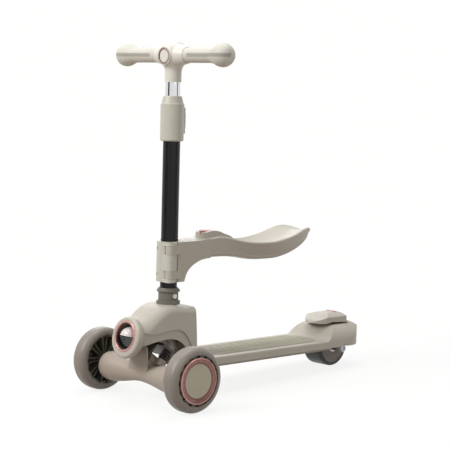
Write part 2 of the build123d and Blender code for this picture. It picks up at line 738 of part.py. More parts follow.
def make_seat_clamp():
    z0 = clamp_low
    pieces = {}
    plan = clamp_side() & Circle(clamp_r)
    barrel = Pos(hinge_x, -hinge_dy) * Circle(barrel_r)
    bridge = make_face(Polyline((0, -clamp_r + 1.5), (hinge_x, -hinge_dy - barrel_r), (hinge_x + barrel_r, -hinge_dy),
                                (clamp_r, -gap), (0, -gap), (0, -clamp_r + 1.5)))
    full = plan + barrel + bridge
    # Where the seat's knuckles turn, the clamp keeps clear of them and of their webs.
    sweep_room = Pos(hinge_x, -hinge_dy) * Circle(barrel_r + gap)
    sweep_room += Pos(hinge_x - barrel_r - gap + 40, -hinge_dy - 40) * Rectangle(80, 80)
    sweep_room += Pos(hinge_x - 8 - gap + 40, -hinge_dy + 20) * Rectangle(80, 40)
    slim = plan - sweep_room
    top_knuckle = knuckle_low + knuckle_h
    clamp = extrude(Circle(clamp_sleeve_r), clamp_h)
    clamp += extrude(full, flange_h)
    clamp += Pos(0, 0, flange_h) * extrude(slim, knuckle_low - flange_h)
    clamp += Pos(0, 0, knuckle_low) * extrude(full, knuckle_h)
    clamp += Pos(0, 0, top_knuckle) * extrude(slim, clamp_h - flange_h - top_knuckle)
    clamp += Pos(0, 0, clamp_h - flange_h) * extrude(full, flange_h)
    knuckle_room = Pos(hinge_x, -hinge_dy) * Circle(barrel_r + gap)
    clamp -= Pos(0, 0, flange_h) * extrude(knuckle_room, knuckle_low - flange_h)
    clamp -= Pos(0, 0, top_knuckle) * extrude(knuckle_room, clamp_h - flange_h - top_knuckle)
    clamp -= extrude(Circle(tube_r + seat_fit), clamp_h)
    clamp -= Pos(hinge_x, -hinge_dy, 1.5) * extrude(Circle(hinge_pin_r + seat_fit), clamp_h)
    # two screws draw the clamp tight from the front
    for z in (flange_h + 7, clamp_h - flange_h - 7):
        clamp -= Pos(-8, -clamp_r - 2, z) * Rot(-90, 0, 0) * extrude(Circle(3.2), 6)
    pieces["seat_clamp"] = Pos(0, column_y, z0) * clamp
    pin = Pos(hinge_x, -hinge_dy, 1.5) * extrude(Circle(hinge_pin_r), clamp_h - 1.5)
    pieces["seat_hinge_pin"] = Pos(0, column_y, z0) * pin
    return pieces


def saddle_section(y, half, top, middle, low, low_half):
    """Cross-section of the saddle: a dished top between two lips over a rounded keel."""
    lip = 3.0
    r = 8.0
    edge = Plane((0, y, 0), x_dir=(1, 0, 0), z_dir=(0, -1, 0))
    right_low = (low_half, low + r)
    lines = [
        ThreePointArc((-half + lip, top), (0, middle), (half - lip, top)),
        ThreePointArc((half - lip, top), (half - lip * .3, top - lip * .35), (half, top - lip)),
        Line((half, top - lip), right_low),
        ThreePointArc(right_low, (low_half - r * .32, low + r * .3), (low_half - r, low)),
        ThreePointArc((low_half - r, low), (0, low - 1.5), (-low_half + r, low)),
        ThreePointArc((-low_half + r, low), (-low_half + r * .32, low + r * .3), (-low_half, low + r)),
        Line((-low_half, low + r), (-half, top - lip)),
        ThreePointArc((-half, top - lip), (-half + lip * .3, top - lip * .35), (-half + lip, top)),
    ]
    return edge * make_face(lines)


def make_seat():
    z0, z1 = clamp_low, clamp_low + clamp_h
    pieces = {}
    w = saddle_half
    # Y, half width, heights of lip, middle and keel over the bracket's top, half width of the keel
    stations = [
        (104, 25.0, 0.0, -0.4, -37.9, 22.0),
        (130, 25.5, 2.6, 2.1, -33.9, 22.0),
        (165, 29.0, 5.1, 1.1, -33.9, 22.0),
        (200, 34.0, -2.4, -8.9, -35.9, 22.0),
        (240, w - 4, -7.9, -18.9, -42.4, 23.0),
        (280, w, -8.4, -20.9, -44.9, 25.0),
        (318, w + .5, -2.9, -14.9, -42.4, 28.0),
        (350, w - 1, 6.1, -3.9, -33.4, 30.0),
        (376, w - 6, 13.1, 5.1, -21.9, 29.0),
        (394, w - 15, 12.1, 7.1, -11.9, 24.0),
        (saddle_end_y, 18.0, 7.1, 4.6, -5.9, 12.0),
    ]
    saddle = loft([saddle_section(y, half, *(z1 + rise for rise in rises), low_half)
                   for y, half, *rises, low_half in stations])
    # bracket: side view with the swept underside
    side = make_face([
        Line((column_y - 30, z0), (67, z0)),
        Line((67, z0), (69, z0 + 6)),
        Spline((69, z0 + 6), (80, z0 + 23.8), (104, z1 - 37.9), (132, z1 - 33.9), tangents=[(.3, 1), (1, .05)]),
        Polyline((132, z1 - 33.9), (132, z1 + 2.5), (104, z1), (column_y - 30, z1), (column_y - 30, z0)),
    ])
    body = side_shape(side, bracket_half)
    body = body & extrude(Plane.XY.offset(z0) * (Pos(0, column_y) * seat_side()), clamp_h + 4)
    body += saddle
    # raised nose round the button
    nose_side = make_face([
        Line((126, z1 - 2.9), (127, boss_top - 2)),
        ThreePointArc((127, boss_top - 2), (150, boss_top + 1.2), (172, boss_top - 5)),
        Spline((172, boss_top - 5), (190, z1 + 4.1), (206, z1 - 4.9), tangents=[(1, -.35), (1, -.3)]),
        Polyline((206, z1 - 4.9), (126, z1 - 2.9)),
    ])
    nose = extrude(Plane.YZ * nose_side, 17, both=True)
    nose = fillet(nose.edges().filter_by(Axis.Z, tolerance=6).group_by(Axis.Y)[0], 5)
    body += nose
    # recess round the column and the clamp's sleeve
    body -= Pos(0, column_y, z0 - 1) * extrude(Circle(clamp_sleeve_r + gap * 2), clamp_h + 2)
    # knuckles and the webs that join them to the bracket
    zones = ((flange_h + gap, knuckle_low - gap), (knuckle_low + knuckle_h + gap, clamp_h - flange_h - gap))
    web = make_face(Polyline((hinge_x - 8, -hinge_dy), (hinge_x + barrel_r, -hinge_dy), (bracket_half + 4.5, 3),
                             (bracket_half, 9), (hinge_x - 8, 9), (hinge_x - 8, -hinge_dy)))
    web += Pos(hinge_x, -hinge_dy) * Circle(barrel_r)
    for low, high in zones:
        knuckle = Pos(0, column_y, z0 + low) * extrude(web, high - low)
        knuckle -= Pos(0, column_y, z0 - 1) * extrude(Circle(clamp_sleeve_r + gap * 2), clamp_h + 2)
        body += knuckle
    body -= Pos(hinge_x, column_y - hinge_dy, z0 - 1) * extrude(Circle(hinge_pin_r + running_fit), clamp_h + 2)
    # channel of the bolt and well of the button
    tip_y = column_y + clamp_sleeve_r + 2 * gap
    body -= block(-bolt_w / 2 - gap, bolt_w / 2 + gap, column_y, bolt_back_y + button_travel + 1,
                  bolt_z - gap, bolt_z + bolt_h + gap)
    cap_bottom = boss_top - 6.0
    well = Pos(0, button_y, cap_bottom - button_travel - gap) * extrude(
        SlotOverall(button_len + 2 * gap, button_w + 2 * gap, rotation=90), 30)
    body -= well
    spring_floor = bolt_z + bolt_h + 2.5
    body -= Pos(0, button_y, spring_floor) * extrude(Circle(7.6), 30)
    body -= block(-3.2 - gap, 3.2 + gap, button_y - 4 - gap, button_y + 4 + gap, bolt_z, boss_top)
    pieces["seat"] = body
    # button: cap, stem and the wedge that draws the bolt back
    cap = Pos(0, button_y, cap_bottom) * extrude(SlotOverall(button_len, button_w, rotation=90), 7.6)
    cap = fillet(cap.edges().group_by(Axis.Z)[-1], 2.4)
    stem = block(-3.2, 3.2, button_y - 4, button_y + 4, bolt_z + 4.5, cap_bottom + .5)
    stem -= Pos(0, button_y + 4, bolt_z + 4.5) * Rot(45, 0, 0) * Box(20, 7, 7)
    pieces["seat_button"] = cap + stem
    spring_len = cap_bottom - spring_floor - 2 * gap
    pieces["seat_button_spring"] = Pos(0, button_y, spring_floor + gap) * coil(6.2, .7, spring_len, 3.5)
    bolt = block(-bolt_w / 2, bolt_w / 2, tip_y, bolt_back_y, bolt_z, bolt_z + bolt_h)
    bolt -= block(-3.2 - gap, 3.2 + gap, button_y - 4 - gap - button_travel, button_y + 4 + gap,
                  bolt_z - 1, bolt_z + bolt_h + 1)
    pieces["seat_latch_bolt"] = bolt
    return pieces


def seat_side():
    """Plan of the bracket round the column, clear of the clamp by one gap."""
    c, s = hinge_x / hypot(hinge_x, hinge_dy), hinge_dy / hypot(hinge_x, hinge_dy)
    g = 2 * gap
    far = 60.0
    return make_face(Polyline((0, g), (far, g), (far, 140), (-far, 140), (-far, far * s / c + g / c), (0, g / c), (0, g)))


# Front truck

def pin_frame():
    """Local Z runs up the steering pin, X across the scooter, Y square to both."""
    t = radians(pin_tilt)
    return Plane((0, pin_y, pin_z), x_dir=(1, 0, 0), z_dir=(0, -cos(t), sin(t)))


def stub_axle(side, radius):
    """One of the two axles, pressed into the beam from its end."""
    outer = track / 2 + wheel_boss_half + gap + nut_h
    return rod(radius, (side * stub_start, front_axle_y, front_axle_z), (side * outer, front_axle_y, front_axle_z))


def shield():
    """The wall in front of the pin, which stands on the beam and closes the arch."""
    front = make_face(Polyline((-shield_low_half, beam_z), (shield_low_half, beam_z), (shield_high_half, shield_top),
                               (-shield_high_half, shield_top), (-shield_low_half, beam_z)))
    front = fillet(front.vertices().group_by(Axis.Y)[-1], shield_high_half * .6)
    side = make_face(Polyline((shield_low_y, beam_z), (shield_high_y, shield_top),
                              (shield_high_y + shield_t, shield_top), (shield_low_y + shield_t, beam_z),
                              (shield_low_y, beam_z)))
    return extrude(Plane.XZ * front, -60, both=True) & side_shape(side, 2 * shield_low_half)


def make_truck():
    frame = pin_frame()
    pieces = {}
    beam = frame * Pos(0, 0, -boss_half) * extrude_circle(boss_r, 2 * boss_half)
    front, rear = frame.from_local_coords((0, 0, boss_half)), frame.from_local_coords((0, 0, -boss_half))
    middle_y, middle_r = beam_form[0][1:]
    nose = (middle_y - middle_r, beam_z)
    neck = make_face(Polyline(nose, (middle_y, beam_z - middle_r), (rear.Y - 4, rear.Z - 8),
                              (rear.Y, rear.Z), (front.Y, front.Z), nose))
    beam += side_shape(neck, beam_neck_half)
    arm = frame * Pos(0, pad_e / 2 - 3, 0) * Box(2 * spring_x, pad_e + 2, 14)
    beam += arm
    for side in (-1, 1):
        beam += loft([Plane((side * share * beam_end_x, y, beam_z), x_dir=(0, 1, 0), z_dir=(side, 0, 0)) * Circle(r)
                      for share, y, r in beam_form])
        beam += frame * Pos(side * spring_x, -4, 0) * Rot(-90, 0, 0) * extrude_circle(spring_r + 2.5, pad_e + 4)
    beam += shield()
    beam -= frame * Pos(0, 0, -boss_half - 10) * extrude_circle(pin_r + bush_wall, 2 * boss_half + 20)
    for side in (-1, 1):
        beam -= stub_axle(side, axle_r + seat_fit)
        # the neck stays clear of the bracket's ears
        beam -= frame * Pos(0, 12, side * (boss_half + ear_t / 2 + gap)) * Box(2 * ear_half + 8, 56, ear_t + 2 * gap)
    pieces["truck_beam"] = beam
    bush = Part()
    for low in (-boss_half, boss_half - bush_len):
        bush += frame * Pos(0, 0, low) * (extrude_circle(pin_r + bush_wall - seat_fit, bush_len)
                                         - extrude_circle(pin_r + running_fit, bush_len))
    pieces["steering_bushes"] = bush
    half = boss_half + gap * 2
    top = bridge_e + bridge_t
    bracket = frame * Pos(0, bridge_e + bridge_t / 2, 0) * Box(2 * bridge_half, bridge_t, 2 * (half + ear_t))
    for s in (-1, 1):
        z = s * (half + ear_t / 2)
        ear = Pos(0, (top - 2) / 2, z) * Box(2 * ear_half, top - 2, ear_t)
        ear += Pos(0, 0, z - ear_t / 2) * extrude_circle(ear_half, ear_t)
        bracket += frame * ear
    bracket -= frame * Pos(0, 0, -60) * extrude_circle(pin_r + seat_fit, 120)
    for side in (-1, 1):
        spigot = frame * Pos(side * spring_x, bridge_e - spigot_h, 0) * Rot(-90, 0, 0) * extrude_circle(
            spring_r - spring_wire - .5, spigot_h + 1)
        bracket += spigot
    pieces["truck_bracket"] = bracket
    reach = half + ear_t
    pin = frame * Pos(0, 0, -reach - steering_nut_h - 1) * extrude_circle(pin_r, 2 * reach + steering_nut_h + 1)
    pin += frame * Pos(0, 0, reach) * extrude_circle(pin_head_r, pin_head_h)
    pieces["steering_pin"] = pin
    nut = frame * Pos(0, 0, -reach - steering_nut_h) * (
        extrude(RegularPolygon(steering_nut_r, 6), steering_nut_h) - extrude_circle(pin_r + seat_fit, steering_nut_h))
    pieces["steering_nut"] = nut
    length = bridge_e - pad_e - 2 * gap
    for side, name in ((1, "left"), (-1, "right")):
        spring = coil(spring_r, spring_wire, length, spring_turns)
        pieces[f"centring_spring_{name}"] = frame * Pos(side * spring_x, pad_e + gap, 0) * Rot(-90, 0, 0) * spring
    pieces["front_axle"] = stub_axle(-1, axle_r) + stub_axle(1, axle_r)
    nuts = Part()
    spacers = Part()
    for side in (-1, 1):
        x = side * (track / 2 + wheel_boss_half + gap)
        nut = Plane((x, front_axle_y, front_axle_z), z_dir=(side, 0, 0)) * (
            extrude(RegularPolygon(nut_af / 2, 6, major_radius=False), nut_h) - extrude_circle(axle_r + seat_fit, nut_h))
        nuts += nut
        inner, outer = side * beam_end_x, side * (track / 2 - wheel_boss_half - gap)
        spacers += pipe(9, axle_r + seat_fit, (inner, front_axle_y, front_axle_z), (outer, front_axle_y, front_axle_z))
    pieces["front_axle_nuts"] = nuts
    pieces["axle_spacers"] = spacers
    return pieces


# Wheels

def make_front_wheel(side, name):
    """One front wheel; its ring and cap are on the outer side."""
    pieces = {}
    x, y, z = side * track / 2, front_axle_y, front_axle_z
    h, r, t = tyre_half, front_wheel_r, tyre_round
    k = t * (1 - cos(pi / 4))
    tyre = make_face([
        Line((-h, tyre_bore), (-h, r - t)),
        ThreePointArc((-h, r - t), (-h + k, r - k), (-h + t, r)),
        Line((-h + t, r), (h - t, r)),
        ThreePointArc((h - t, r), (h - k, r - k), (h, r - t)),
        Line((h, r - t), (h, tyre_bore)),
        Line((h, tyre_bore), (-h, tyre_bore)),
    ])
    pieces[f"{name}_front_tyre"] = turned(tyre, x, y, z)
    rim_out = tyre_bore - seat_fit
    ring_in = wheel_ring_r - wheel_ring_w
    rim = make_face(Polyline((-rim_half, rim_in), (-rim_half, rim_out), (rim_half, rim_out), (rim_half, rim_in),
                             close=True))
    flange = make_face(Polyline((rim_half - 2.5, ring_in - 2), (rim_half - 2.5, rim_in + 1),
                                (rim_half, rim_in + 1), (rim_half, ring_in - 2), close=True))
    boss = make_face(Polyline((-wheel_boss_half, axle_r + 3), (-wheel_boss_half, wheel_boss_r),
                              (wheel_boss_half, wheel_boss_r), (wheel_boss_half, axle_r + 3), close=True))
    hub = revolve(rim, Axis.X) + revolve(flange, Axis.X) + revolve(boss, Axis.X)
    spoke = Pos(0, 0, (wheel_boss_r + rim_in) / 2) * Box(2 * spoke_half, spoke_w, rim_in - wheel_boss_r + 4)
    low_y, high_y = (r * tan(radians(spoke_spread)) for r in (wheel_boss_r, rim_in))
    web = make_face(Polyline((-low_y, wheel_boss_r - 1), (low_y, wheel_boss_r - 1), (high_y, rim_in + .5),
                             (-high_y, rim_in + .5), (-low_y, wheel_boss_r - 1)))
    web = side_shape(web, spoke_web / 2)
    for i in range(spoke_pairs):
        turn = Rot(360 / spoke_pairs * i, 0, 0)
        hub += turn * web
        for lean_sign in (-1, 1):
            hub += turn * Rot(lean_sign * spoke_spread, 0, 0) * spoke
    for i in range(notch_n):
        for s in (-1, 1):
            hub -= Rot(360 / notch_n * i, 0, 0) * Pos(s * rim_half, 0, rim_in + 2.5) * Box(2 * notch_d, notch_w, 8)
    for s in (-1, 1):
        seat_x = s * wheel_boss_half
        hub -= rod(bearing_r + seat_fit, (seat_x - s * bearing_w, 0, 0), (seat_x + s * 5, 0, 0))
    if side < 0:
        hub = mirror(hub, Plane.YZ)
    pieces[f"{name}_front_hub"] = Pos(x, y, z) * hub
    bearings = Part()
    for s in (-1, 1):
        a = x + s * wheel_boss_half
        bearings += pipe(bearing_r, axle_r + running_fit, (a - s * bearing_w, y, z), (a, y, z))
    pieces[f"{name}_wheel_bearings"] = bearings
    seat_x, face = rim_half + seat_fit, wheel_ring_face
    lip_in = wheel_ring_r - ring_lip
    ring = revolve(make_face(Polyline(
        (seat_x, ring_in), (seat_x, wheel_ring_r), (face - .8, wheel_ring_r), (face, wheel_ring_r - .6),
        (face, lip_in), (face - 1.2, lip_in - .6), (face - ring_sink, ring_in), close=True)), Axis.X)
    cap_r = ring_in - seat_fit
    cap_in = wheel_boss_half + gap + nut_h + .8
    rim_x = face - ring_sink + .4
    dome = (cap_r ** 2 + cap_dome ** 2) / (2 * cap_dome)
    half_way = rim_x + cap_dome - dome + (dome ** 2 - cap_r ** 2 / 4) ** .5
    cap = make_face([
        Polyline((rim_x + cap_dome, 0), (cap_in, 0), (cap_in, cap_r - 4), (seat_x, cap_r - 4),
                 (seat_x, cap_r), (rim_x, cap_r)),
        ThreePointArc((rim_x, cap_r), (half_way, cap_r / 2), (rim_x + cap_dome, 0)),
    ])
    cap = revolve(cap, Axis.X)
    if side < 0:
        ring, cap = mirror(ring, Plane.YZ), mirror(cap, Plane.YZ)
    pieces[f"{name}_wheel_ring"] = Pos(x, y, z) * ring
    pieces[f"{name}_wheel_cap"] = Pos(x, y, z) * cap
    return pieces


def make_rear_wheel():
    pieces = {}
    y, z = rear_axle_y, rear_axle_z
    h, r, t = rear_half, rear_wheel_r, rear_tyre_round
    k = t * (1 - cos(pi / 4))
    tyre = make_face([
        Line((-h, rear_rim), (-h, r - t)),
        ThreePointArc((-h, r - t), (-h + k, r - k), (-h + t, r)),
        Line((-h + t, r), (h - t, r)),
        ThreePointArc((h - t, r), (h - k, r - k), (h, r - t)),
        Line((h, r - t), (h, rear_rim)),
        Line((h, rear_rim), (-h, rear_rim)),
    ])
    pieces["rear_tyre"] = turned(tyre, 0, y, z)
    rim_out = rear_rim - seat_fit
    # one closed dish on each side, between the boss and the rim
    half_section = make_face(Polyline(
        (0, rim_out - 3), (0, rim_out), (h - 1, rim_out), (h - 2.5, rim_out - 3), (h - 1, rear_boss_r),
        (h - 1, axle_r + 3), (0, axle_r + 3), (0, rear_boss_r), (h - 4, rear_boss_r), (h - 5.5, rim_out - 3), close=True))
    half_hub = revolve(half_section, Axis.X)
    hub = half_hub + mirror(half_hub, Plane.YZ)
    for s in (-1, 1):
        hub -= rod(bearing_r + seat_fit, (s * (h - 1 - bearing_w), 0, 0), (s * (h + 5), 0, 0))
    pieces["rear_hub"] = Pos(0, y, z) * hub
    bearings = Part()
    for s in (-1, 1):
        a = s * (h - 1)
        bearings += pipe(bearing_r, axle_r + running_fit, (a - s * bearing_w, y, z), (a, y, z))
    pieces["rear_wheel_bearings"] = bearings
    end = lug_x + lug_t + 3
    pieces["rear_axle"] = rod(axle_r, (-end, y, z), (end, y, z))
    nuts = Part()
    spacers = Part()
    for s in (-1, 1):
        plane = Plane((s * (lug_x + lug_t), y, z), z_dir=(s, 0, 0))
        nuts += plane * (extrude(RegularPolygon(nut_af / 2, 6, major_radius=False), nut_h)
                         - extrude_circle(axle_r + seat_fit, nut_h))
        spacers += pipe(spacer_r, axle_r + seat_fit, (s * (h - 1 + gap), y, z), (s * lug_x, y, z))
    pieces["rear_axle_nuts"] = nuts
    pieces["rear_spacers"] = spacers
    return pieces


# Brake

def pedal_form(shrink=0.0):
    """The pedal as a full body. With shrink it is smaller all over and open below."""
    f, b, top = pedal_front_y + 1.4 * shrink, pedal_rear_y - shrink, pedal_top - shrink
    tip = (f, pedal_tip_z)
    above = [
        Spline(tip, (f + 14, top - 11 + .3 * shrink), (pedal_front_y + 36, top - 1.7), (pedal_front_y + 52, top),
               tangents=[(.5, 1), (1, 0)]),
        Line((pedal_front_y + 52, top), (b - 9, top)),
        ThreePointArc((b - 9, top), (b - 2.6, top - 3.4), (b, top - 12)),
    ]
    if shrink:
        below = [Polyline((b, top - 12), (b, dome_z), (f, dome_z), tip)]
    else:
        edge = fender_top + pedal_rise
        below = [Polyline((b, top - 12), (b, edge), (f + 34, edge + 3)),
                 ThreePointArc((f + 34, edge + 3), (f + 16, pedal_tip_z - .5), tip)]
    half = pedal_half - shrink
    bow = pedal_front_y + shrink + pedal_bow
    plan = make_face([
        Polyline((-half, bow), (-half, b + 20), (half, b + 20), (half, bow)),
        ThreePointArc((half, bow), (0, pedal_front_y + shrink), (-half, bow)),
    ])
    return side_shape(make_face(above + below), pedal_half) & dome_front(pedal_top, shrink) & extrude(plan, 200)


def make_brake():
    pieces = {}
    y, z, top = brake_pin_y, brake_pin_z, pedal_top
    roof = top - pedal_wall
    pedal = pedal_form() - pedal_form(pedal_wall)
    # barrel on the pin, and the arm that joins it to the rear wall
    pedal += rod(brake_barrel_r, (-barrel_half, y, z), (barrel_half, y, z))
    pedal += block(-barrel_half, barrel_half, pedal_rear_y - 4, y, z + .6, z + brake_barrel_r)
    pedal += block(-barrel_half, barrel_half, pedal_rear_y - 4, pedal_rear_y, z + .6, fender_top + 6)
    pedal -= rod(brake_pin_r + running_fit, (-pedal_half, y, z), (pedal_half, y, z))
    # post that carries the pad
    pad_low = rear_axle_z + rear_wheel_r + pad_gap
    pad_high = pad_low + pad_t / 2
    pedal += block(-pad_half + 3, pad_half - 3, rear_axle_y - 6, rear_axle_y + 6, pad_high, roof - 1)
    bar_y = pedal_rear_y - 14
    bar_low = top - 2.4
    pedal -= block(-bar_half - seat_fit, bar_half + seat_fit, bar_y - bar_w / 2 - seat_fit, bar_y + bar_w / 2 + seat_fit,
                   bar_low, top + 10)
    pieces["brake_pedal"] = pedal
    pad = block(-pad_half, pad_half, rear_axle_y - pad_len / 2, rear_axle_y + pad_len / 2, pad_high - pad_t, pad_high)
    pad -= rod(rear_wheel_r + pad_gap, (-60, rear_axle_y, rear_axle_z), (60, rear_axle_y, rear_axle_z))
    pieces["brake_pad"] = pad
    plate = block(-bar_half, bar_half, bar_y - bar_w / 2, bar_y + bar_w / 2, bar_low, top + .5)
    pieces["brake_bar"] = fillet(plate.edges().filter_by(Axis.Z), 2)
    pieces["brake_pin"] = rod(brake_pin_r, (-brake_pin_half, y, z), (brake_pin_half - gap, y, z))
    length = roof - fender_top - 4 * gap
    pieces["brake_spring"] = Pos(0, brake_spring_y, fender_top + 2 * gap) * coil(4.6, .7, length, 3.5)
    return pieces


def all_pieces():
    pieces = {"deck": make_deck(), "grip_mat": make_mat(), "deck_base": make_deck_base(), "bonnet": make_bonnet()}
    pieces.update(make_lamp())
    pieces.update(make_column())
    pieces.update(make_sleeve())
    pieces.update(make_handlebar())
    pieces.update(make_seat_clamp())
    pieces.update(make_seat())
    pieces.update(make_truck())
    pieces.update(make_front_wheel(1, "left"))
    pieces.update(make_front_wheel(-1, "right"))
    pieces.update(make_rear_wheel())
    pieces.update(make_brake())
    return pieces


def write_pieces():
    os.makedirs("parts", exist_ok=True)
    rearmost = tail_y * cos(lean) + (deck_top - deck_round) * sin(lean)
    middle = (rearmost - front_wheel_r) / 2
    place = Location((0, -middle, 0)) * Location((0, 0, 0), (-rake, 0, 0))
    for name, piece in all_pieces().items():
        export_step(piece.moved(place), f"parts/{name}.step")
    print(f"the deck's frame lies {middle:.4f} in front of the middle")


if __name__ == "__main__":
    write_pieces()
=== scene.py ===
import json
import math
import bpy
import bmesh
from mathutils import Matrix, Vector


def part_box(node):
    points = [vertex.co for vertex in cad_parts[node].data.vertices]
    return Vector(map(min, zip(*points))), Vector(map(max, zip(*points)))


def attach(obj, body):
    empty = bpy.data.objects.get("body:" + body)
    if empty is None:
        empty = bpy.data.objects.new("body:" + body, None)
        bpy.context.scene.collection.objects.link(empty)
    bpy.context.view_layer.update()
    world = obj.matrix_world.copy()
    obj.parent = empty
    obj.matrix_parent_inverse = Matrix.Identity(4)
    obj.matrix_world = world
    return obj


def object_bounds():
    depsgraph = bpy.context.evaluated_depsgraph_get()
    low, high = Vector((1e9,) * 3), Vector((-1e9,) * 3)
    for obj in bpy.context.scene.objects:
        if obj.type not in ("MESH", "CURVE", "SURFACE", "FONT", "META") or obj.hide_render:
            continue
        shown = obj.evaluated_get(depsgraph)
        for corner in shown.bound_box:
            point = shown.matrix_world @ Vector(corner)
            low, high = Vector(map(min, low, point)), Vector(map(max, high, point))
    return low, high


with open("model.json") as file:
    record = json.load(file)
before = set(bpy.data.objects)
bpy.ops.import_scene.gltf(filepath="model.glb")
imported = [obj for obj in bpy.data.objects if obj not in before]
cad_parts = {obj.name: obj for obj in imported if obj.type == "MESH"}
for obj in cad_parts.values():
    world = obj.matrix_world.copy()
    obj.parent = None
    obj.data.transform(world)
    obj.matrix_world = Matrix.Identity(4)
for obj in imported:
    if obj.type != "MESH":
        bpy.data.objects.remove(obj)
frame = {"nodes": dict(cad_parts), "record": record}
nodes = frame["nodes"]
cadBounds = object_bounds()
print("frame loaded:", len(nodes), "nodes")


# Shared effects, each built once as a node group

# An empty node group with its named sockets, and its two end nodes.
def newGroup(name, inputs, outputs):
    group = bpy.data.node_groups.new(name, "ShaderNodeTree")
    for label, kind, value in inputs:
        socket = group.interface.new_socket(label, in_out="INPUT", socket_type=kind)
        socket.default_value = value
    for label, kind in outputs:
        group.interface.new_socket(label, in_out="OUTPUT", socket_type=kind)
    return group, group.nodes.new("NodeGroupInput"), group.nodes.new("NodeGroupOutput")


def addNode(tree, kind, **settings):
    node = tree.nodes.new(kind)
    for key, value in settings.items():
        setattr(node, key, value)
    return node


# A noise texture on object coordinates; its scale comes from a socket or a number.
def noiseAt(tree, scaleFrom, coordinate, detail=3.0, roughness=0.55):
    noise = addNode(tree, "ShaderNodeTexNoise")
    noise.inputs["Detail"].default_value = detail
    noise.inputs["Roughness"].default_value = roughness
    tree.links.new(coordinate, noise.inputs["Vector"])
    if isinstance(scaleFrom, (int, float)):
        noise.inputs["Scale"].default_value = scaleFrom
    else:
        tree.links.new(scaleFrom, noise.inputs["Scale"])
    return noise.outputs["Fac"]


# Maps 0.3-0.7 of a noise to the range low-high, given as numbers or sockets.
def spread(tree, value, low, high):
    ramp = addNode(tree, "ShaderNodeMapRange")
    ramp.inputs["From Min"].default_value = 0.3
    ramp.inputs["From Max"].default_value = 0.7
    tree.links.new(value, ramp.inputs["Value"])
    for label, limit in (("To Min", low), ("To Max", high)):
        if isinstance(limit, (int, float)):
            ramp.inputs[label].default_value = limit
        else:
            tree.links.new(limit, ramp.inputs[label])
    return ramp.outputs["Result"]


def mixColour(tree, factor, first, second, blend="MIX"):
    mix = addNode(tree, "ShaderNodeMix", data_type="RGBA", blend_type=blend)
    for socket, value in ((mix.inputs[0], factor), (mix.inputs[6], first), (mix.inputs[7], second)):
        if isinstance(value, (int, float, tuple)):
            socket.default_value = value
        else:
            tree.links.new(value, socket)
    return mix.outputs[2]


def mathNode(tree, operation, first, second=None, clamp=False):
    node = addNode(tree, "ShaderNodeMath", operation=operation, use_clamp=clamp)
    for socket, value in zip(node.inputs, (first, second)):
        if value is None:
            continue
        if isinstance(value, (int, float)):
            socket.default_value = value
        else:
            tree.links.new(value, socket)
    return node.outputs[0]


effectSizes = {"driftScale": 14.0, "patchScale": 60.0, "speckShare": 0.5,
               "edgeRadius": 0.0012, "edgeGain": 6.0, "edgeScale": 180.0,
               "dustScale": 45.0, "dustRise": 0.8, "dustDulls": 0.4, "dustColour": (0.62, 0.6, 0.55, 1)}
black = (0.0, 0.0, 0.0, 1)


# Moulded skin: slow tone drift, fine tooling grain and patches of shine.
def makeSkin():
    group, start, end = newGroup(
        "mouldedSkin",
        [("Colour", "NodeSocketColor", (0.5, 0.5, 0.5, 1)),
         ("Tone drift", "NodeSocketFloat", 0.06),
         ("Grain scale", "NodeSocketFloat", 900.0),
         ("Shine low", "NodeSocketFloat", 0.35),
         ("Shine high", "NodeSocketFloat", 0.5)],
        [("Colour", "NodeSocketColor"), ("Roughness", "NodeSocketFloat"), ("Height", "NodeSocketFloat")])
    coordinate = addNode(group, "ShaderNodeTexCoord").outputs["Object"]
    slow = noiseAt(group, effectSizes["driftScale"], coordinate, detail=2.0)
    fine = noiseAt(group, start.outputs["Grain scale"], coordinate, detail=4.0)
    patches = noiseAt(group, effectSizes["patchScale"], coordinate, detail=4.0, roughness=0.6)
    dark = mixColour(group, start.outputs["Tone drift"], start.outputs["Colour"], black)
    toned = mixColour(group, spread(group, slow, 0.0, 1.0), dark, start.outputs["Colour"])
    specks = mathNode(group, "MULTIPLY", start.outputs["Tone drift"], effectSizes["speckShare"])
    speckled = mixColour(group, mathNode(group, "MULTIPLY", spread(group, fine, 0.0, 1.0), specks),
                         toned, black)
    group.links.new(speckled, end.inputs["Colour"])
    group.links.new(spread(group, patches, start.outputs["Shine low"], start.outputs["Shine high"]),
                    end.inputs["Roughness"])
    group.links.new(fine, end.inputs["Height"])
    return group


